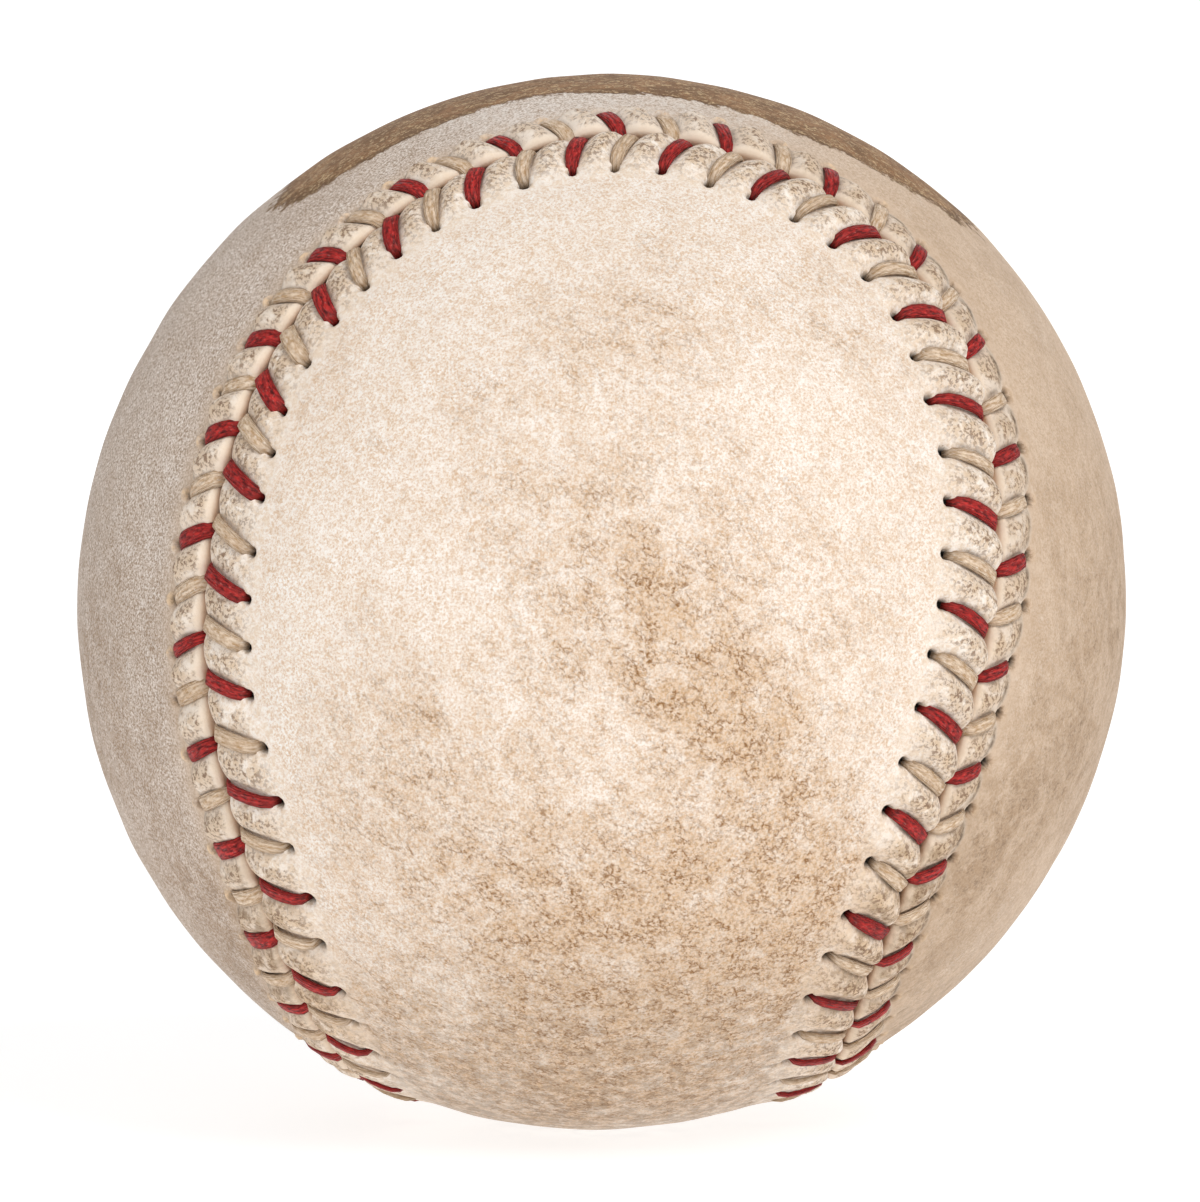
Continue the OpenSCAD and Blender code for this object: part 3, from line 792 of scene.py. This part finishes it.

# %% [markdown]
# The finish is a stack of washes, laid one over another. Besides dirt and crumbs they give the side panel
# its greyed lobe, the white fibres at its crown and the brown scuffed strip, and they paint shade on the
# underside, in the creases and in the holes, and a highlight on the lip beside the seam. Each has a border
# of its own, which a mix of two materials could not give.

# %% Washes over the leather
LEATHER_TONES = {
    # Tones by name, then the strength of some washes (worn: those that only the side panel has) and
    # how pale the puffs' flanks are, where the lobe isn't greyed and where it is
    "front": dict(base="#fcf2e7", mottle="#e0c09c", fine="#c08a52", grime_and_shade="#c79960", wrinkle="#8a5f30",
                  grain=1.1, chalking=0.95, wrinkling=1.0, worn=0, puffs=(0.25, 0.25)),
    "side": dict(base="#dbc2a9", mottle="#b5926d", fine="#92734f", grime_and_shade="#8e6c46", wrinkle="#5f4326",
                 grain=0.6, chalking=0.2, wrinkling=0.35, worn=1, puffs=(0.55, 0.85)),
}
WASHES = [
    # colour or the name of a tone, strength, and the tones and patterns that it is multiplied by
    ("mottle", 0.44, "grain fibrous"),
    ("#dac9bb", 0.80, "worn greyed away"),
    # light flecks on the greyed lobe: partly white fibres of the grain, partly painted glints where light
    # grazes the pebbled grain
    ("#f8f0ea", 0.85, "worn flecked greyed away"),
    ("#8f7864", 0.80, "worn peppered greyed away"),
    ("mottle", 0.22, "grain blotchy away"),
    ("fine", 0.42, "grain peppered away"),
    ("#fffaf4", 1.00, "chalking chalky flecked clean"),
    ("#fffcf8", 0.60, "chalking flecked away"),
    # grime, with the painted shade of the low patches
    ("grime_and_shade", 0.46, "dirty"),
    ("wrinkle", 0.08, "wrinkled away"),
    ("wrinkle", 1.00, "wrinkling wrinkled filthy away"),
    ("wrinkle", 0.55, "wrinkling fine_wrinkled dirty away"),
    ("wrinkle", 0.30, "wrinkling crumbly filthy away"),
    ("#f8ecdf", 1.00, "pale puffed rubbed"),
    ("#e8d3b9", 0.35, "puffed fibrous"),
    ("#bb935c", 0.45, "crest clustered"),
    ("#664022", 0.75, "crest crumbly clustered"),
    ("#7c6143", 0.60, "dirty rough beside"),
    # painted shade: the underside made darker, as the shade beneath the ball
    ("#8b755c", 0.22, "underside away"),
    ("#6f5a45", 0.40, "underside rough away"),
    # painted highlight on the lip, the flank that turns down into the seam
    ("#fbe4c6", 0.45, "lip_highlight"),
    ("#a3652c", 0.90, "gap"),
    # painted shade in the creases: the outlines of the side puffs, the grooves beside the legs and the tails
    ("#7d6346", 0.55, "crease"),
    ("#4d3b29", 0.75, "crease rough"),
    ("#f0d2ad", 0.85, "nub rough"),
    ("#80603f", 0.45, "rim fibrous"),
    # painted shade: a hole is a shallow dip, painted near-black for the shade inside the opening
    ("#120d0a", 1.00, "hole"),
    ("#f2eae2", 0.55, "worn crown fibrous"),
    ("#9d7044", 0.95, "worn scuffed"),
    ("#5e4124", 0.60, "worn scuffed blotchy"),
    ("#d8bb90", 0.85, "worn scuffed rough crumbly"),
    ("#3a2614", 0.65, "worn scuffed peppered broken"),
    ("#4a3118", 0.50, "worn scuffed scuff_edge"),
]


def aged_leather(name, panel):
    """Lays the table's washes over the base; the panel's own tones scale their strengths."""
    tones = LEATHER_TONES[panel]
    material, tree, place = blank(name)
    pattern = leather_patterns(tree, place, tones["puffs"])
    washes = []
    for colour, strength, names in WASHES:
        for key in names.split():
            strength = strength * tones.get(key, 1)
        if strength:
            factors = [pattern[key] for key in names.split() if key not in tones]
            washes.append((tones.get(colour, colour), strength, *factors))
    height = pattern["fibre"]
    for key, amount in (("wrinkled", -0.12), ("pepper", 0.6)):
        height = add(tree, "Math", {0: pattern[key], 1: amount, 2: height}, operation="MULTIPLY_ADD")
    tone = lay_washes(tree, tones["base"], washes)
    finish(tree, tone, height, 0.04, Roughness=0.68, Specular_IOR_Level=0.3)
    return material


print(f"{len(WASHES)} washes in the stack")
leather_front.data.materials.append(aged_leather("aged_horsehide_front", "front"))
leather_side.data.materials.append(aged_leather("aged_horsehide_side", "side"))

# %% [markdown]
# ### Waxed thread
# Both threads are twisted linen drawn through wax, then pressed flat by wear. Fibres run along a
# leg, a little askew from the twist, so the pattern reads the thread's own map: millimetres along
# it, and out and back across it. The fibres are drawn about 0.2 mm wide, some five times as coarse
# as real ones, because finer ones would not show.

# %% Waxed linen thread
def waxed_thread(name, light, deep, worn, wear):
    """Streaks from a noise stretched along the leg, worn flecks, painted shade in the furrows between
    strands, and painted shade where it is tucked in.
    """
    material, tree, uv = blank(name, "UV")
    tucked, tone = (
        add(tree, "Attribute", output="Fac", attribute_name=key) for key in ("tucked", "tone"))
    skew = add(tree, "Mapping", {"Vector": uv, "Rotation": (0, 0, 0.3), "Scale": (0.8, 2.1, 1)})
    fibre = add(tree, "TexNoise", {"Vector": skew, "Scale": 2.2, "Detail": 4.0, "Roughness": 0.65})
    strand = add(tree, "TexWave", {"Vector": skew, "Scale": 0.5, "Distortion": 3.0, "Detail": 2.0,
                                   "Detail Scale": 1.5}, 1, bands_direction="Y")
    patch = add(tree, "TexNoise", {"Vector": skew, "Scale": 4.5, "Detail": 2.0})
    streak = add(tree, "MapRange", {0: fibre, 1: 0.38, 2: 0.62})
    # painted shade in the furrows between the strands
    furrow_shade = add(tree, "MapRange", {0: strand, 1: 0.30, 2: 0.0, 4: 0.12})
    rubbed = add(tree, "MapRange", {0: patch, 1: 0.60, 2: 0.72, 4: wear})
    shade = add(tree, "MapRange", {0: tone, 4: 0.25})
    # painted shade at both ends, where a leg dives into the gap and into its hole
    tuck_shade = add(tree, "Math", {0: tucked, 1: 0.5}, operation="MULTIPLY")
    colour = lay_washes(tree, deep, [
        (light, streak), (deep, furrow_shade), (worn, rubbed), (deep, shade), ("#33201a", tuck_shade)])
    height = add(tree, "Math", {0: strand, 1: fibre}, operation="ADD")
    finish(tree, colour, height, 0.06, Roughness=0.5, Specular_IOR_Level=0.22)
    return material


thread_red.data.materials.append(
    waxed_thread("waxed_red_linen", "#cc3430", "#540b0c", "#e09a90", 0.30))
thread_natural.data.materials.append(
    waxed_thread("waxed_natural_linen", "#f0dbc3", "#b8956f", "#f9eee1", 0.6))

# %% [markdown]
# ### Inside the ball
# Wool and cotton yarn show as rows of strands with a soft sheen; the attribute that counts the yarns across
# a belt drives their ridges, whose tops are painted lighter and whose grooves are painted in shade. Cork is
# granules pressed together, and the rubber shells are moulded, matte and lightly pitted.

# %% Yarn, cork and rubber
def wound_yarn(name, light, shade, ply):
    """Ridges from the cosine of the yarn count, their tops painted lighter and the grooves between yarns in
    painted shade, and a noise for the fuzz of its plies.
    """
    material, tree, place = blank(name)
    yarns, level = (
        add(tree, "Attribute", output="Fac", attribute_name=key) for key in ("yarns", "level"))
    turn = add(tree, "Math", {0: yarns, 1: 2 * np.pi}, operation="MULTIPLY")
    ridge = add(tree, "Math", {0: turn}, operation="COSINE")
    fuzz = add(tree, "TexNoise", {"Vector": place, "Scale": scale_of(ply), "Detail": 4.0})
    # painted light on the ridge tops and painted shade in the grooves between yarns
    share = add(tree, "MapRange", {0: ridge, 1: -1.0, 2: 0.4})
    tuft = add(tree, "Math", {0: share, 1: fuzz}, operation="MULTIPLY")
    painted_ridge_light = add(tree, "MapRange", {0: tuft, 1: 0.1, 2: 0.6})
    colour = lay_washes(tree, shade, [(light, painted_ridge_light)])
    raised = add(tree, "Math", {0: ridge, 1: level}, operation="ADD")
    height = add(tree, "Math", {0: raised, 1: fuzz}, operation="ADD")
    finish(tree, colour, height, 0.12, Roughness=0.9, Specular_IOR_Level=0.2, Sheen_Weight=0.3)
    return material


def pressed_cork():
    """Granules from a cell texture, each with its own brown, and dark joints between them."""
    material, tree, place = blank("pressed_cork")
    cells = add(tree, "TexVoronoi", {"Vector": place, "Scale": scale_of(1.6)}, "Color")
    joints = add(tree, "TexVoronoi", {"Vector": place, "Scale": scale_of(1.6)},
                 feature="DISTANCE_TO_EDGE")
    pick = add(tree, "SeparateXYZ", {0: cells})
    dark = add(tree, "MapRange", {0: joints, 2: 0.08, 3: 0.8, 4: 0.0})
    colour = lay_washes(tree, "#8a5f38", [("#c79a66", pick), ("#3b2616", dark)])
    finish(tree, colour, joints, 0.2, Roughness=0.85, Specular_IOR_Level=0.3)
    return material


def moulded_rubber(name, light, shade):
    """Matte rubber: two close tones in soft clouds and fine pits from the mould."""
    material, tree, place = blank(name)
    cloud = add(tree, "TexNoise", {"Vector": place, "Scale": scale_of(5), "Detail": 3.0})
    pits = add(tree, "TexNoise", {"Vector": place, "Scale": scale_of(0.3), "Detail": 2.0})
    colour = lay_washes(tree, shade, [(light, cloud)])
    finish(tree, colour, pits, 0.03, Roughness=0.6, IOR=1.52)
    return material


for piece, light, shade, ply in (
        (wound_cotton, "#f0e9d8", "#b9ab90", 0.25), (wound_grey_wool, "#a9a69f", "#5f5c57", 0.5),
        (wound_white_wool, "#ece5d6", "#a79c86", 0.5), (wound_inner_wool, "#96938d", "#504d49", 0.6)):
    piece.data.materials.append(wound_yarn(piece.name.replace("wound", "yarn"), light, shade, ply))
black_rubber = moulded_rubber("moulded_black_rubber", "#33333a", "#1c1c20")
red_rubber = moulded_rubber("moulded_red_rubber", "#b4452f", "#7f2a1e")
for node_name, material in (("cork_core", pressed_cork()), ("black_shell_upper", black_rubber),
                            ("black_shell_lower", black_rubber), ("gasket_ring", red_rubber),
                            ("red_rubber_layer", red_rubber)):
    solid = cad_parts[node_name]
    solid.data.materials.clear()
    solid.data.materials.append(material)
print("materials:", sorted(m.name for m in bpy.data.materials if m.users))

# %% [markdown]
# ## Put the pieces on the frame
# Nothing on the ball moves, so every piece rides on the one body. Each new piece names the CAD solid that it
# stands for, which is hidden.

# %% Ride and replace
for piece, node_name, slot in (
        (leather_front, "cover_front", "leather"), (leather_side, "cover_side", "leather"),
        (thread_red, "red_thread", "red_thread"), (thread_natural, "natural_thread", "natural_thread"),
        (wound_cotton, "cotton_winding", "cotton"), (wound_grey_wool, "grey_wool_winding", "grey_wool"),
        (wound_white_wool, "white_wool_winding", "white_wool"),
        (wound_inner_wool, "inner_wool_winding", "grey_wool")):
    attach(piece, "root")
    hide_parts(node_name)
print("pieces placed")

# %% [markdown]
# ## Camera, floor and light
# The camera stands seventeen radii away with a long lens, where the photographed stitches put it.
# The light is a soft key from the upper right, a broad fill from the front, a weak one from behind
# for the other views, and a bright even surround.

# %% Camera
def aim(thing, right, up, back, at=(0, 0, 0)):
    """Turns an object to look against back, with up at its top, and moves it to a place."""
    pose = np.eye(4)
    pose[:3] = np.stack([right, up, back, at], 1)
    thing.matrix_world = Matrix(pose)


CAMERA_LAT, CAMERA_LON, ROLL = np.radians([4.57, 0.86, 0.17])
RADII_AWAY, SENSOR_MM = 17, 36
# Of the photograph, in pixels: its width, and the ball's radius and middle off the picture's centre
WIDE, BALL_PX, OFF_X, OFF_Y = 1200, 526, 1.8, 0.9
far = RADII_AWAY * BALL_R * MM
back = direction(CAMERA_LAT, CAMERA_LON)
right = unit(np.cross([0, 0, 1.0], back))
up = np.cross(back, right)
right, up = right * np.cos(ROLL) + up * np.sin(ROLL), up * np.cos(ROLL) - right * np.sin(ROLL)
lens = bpy.data.cameras.new("camera")
lens.sensor_fit = "HORIZONTAL"
lens.sensor_width = SENSOR_MM
lens.lens = SENSOR_MM * (BALL_PX * np.sqrt(RADII_AWAY ** 2 - 1)) / WIDE
lens.shift_x, lens.shift_y = -OFF_X / WIDE, OFF_Y / WIDE
lens.clip_start, lens.clip_end = 0.01, 60
camera = into_scene("camera", lens)
aim(camera, right, up, back, back * far)
bpy.context.scene.camera = camera
print(f"camera {far:.3f} m away, lens {lens.lens:.0f} mm")

# %% [markdown]
# The floor is the opal top of a light table. It glows, so it stays white under a light that is
# right for the leather, and takes only a faint shadow.

# %% Floor
floor_mesh = bpy.data.meshes.new("floor")
half = 12.0
low = -BALL_R * MM
floor_mesh.from_pydata([(-half, -half, low), (half, -half, low), (half, half, low), (-half, half, low)],
                       [], [(0, 1, 2, 3)])
floor = into_scene("floor", floor_mesh)
opal, tree, place = blank("opal_light_table")
cloud = add(tree, "TexNoise", {"Vector": place, "Scale": scale_of(30)})
finish(tree, lay_washes(tree, "#b4b4b4", [("#bababa", cloud)]), cloud, 0.01, Roughness=0.9,
       Specular_IOR_Level=0.1, Emission_Color=(1, 1, 1, 1), Emission_Strength=0.72)
floor_mesh.materials.append(opal)
print(f"floor {2 * half:.0f} m wide, at {low / MM:.2f} mm")

# %% Light
world = bpy.data.worlds.new("surround")
world.use_nodes = True
even_light = world.node_tree.nodes["Background"].inputs
even_light["Color"].default_value = (1, 1, 1, 1)
even_light["Strength"].default_value = 0.40
bpy.context.scene.world = world
for name, towards, strength, spread in (("key", (0.50, -0.62, 0.72), 1.20, 30),
                                        ("fill", (-0.1, -1.0, 0.32), 0.88, 100),
                                        ("back", (0.1, 1.0, 0.35), 0.60, 60)):
    lamp = bpy.data.lights.new(name, "SUN")
    lamp.energy = strength
    lamp.angle = np.radians(spread)
    z = unit(np.array(towards))
    x = unit(np.cross([0, 0, 1.0], z))
    aim(into_scene(name, lamp), x, np.cross(z, x), z)
bpy.context.scene.view_settings.view_transform = "Standard"
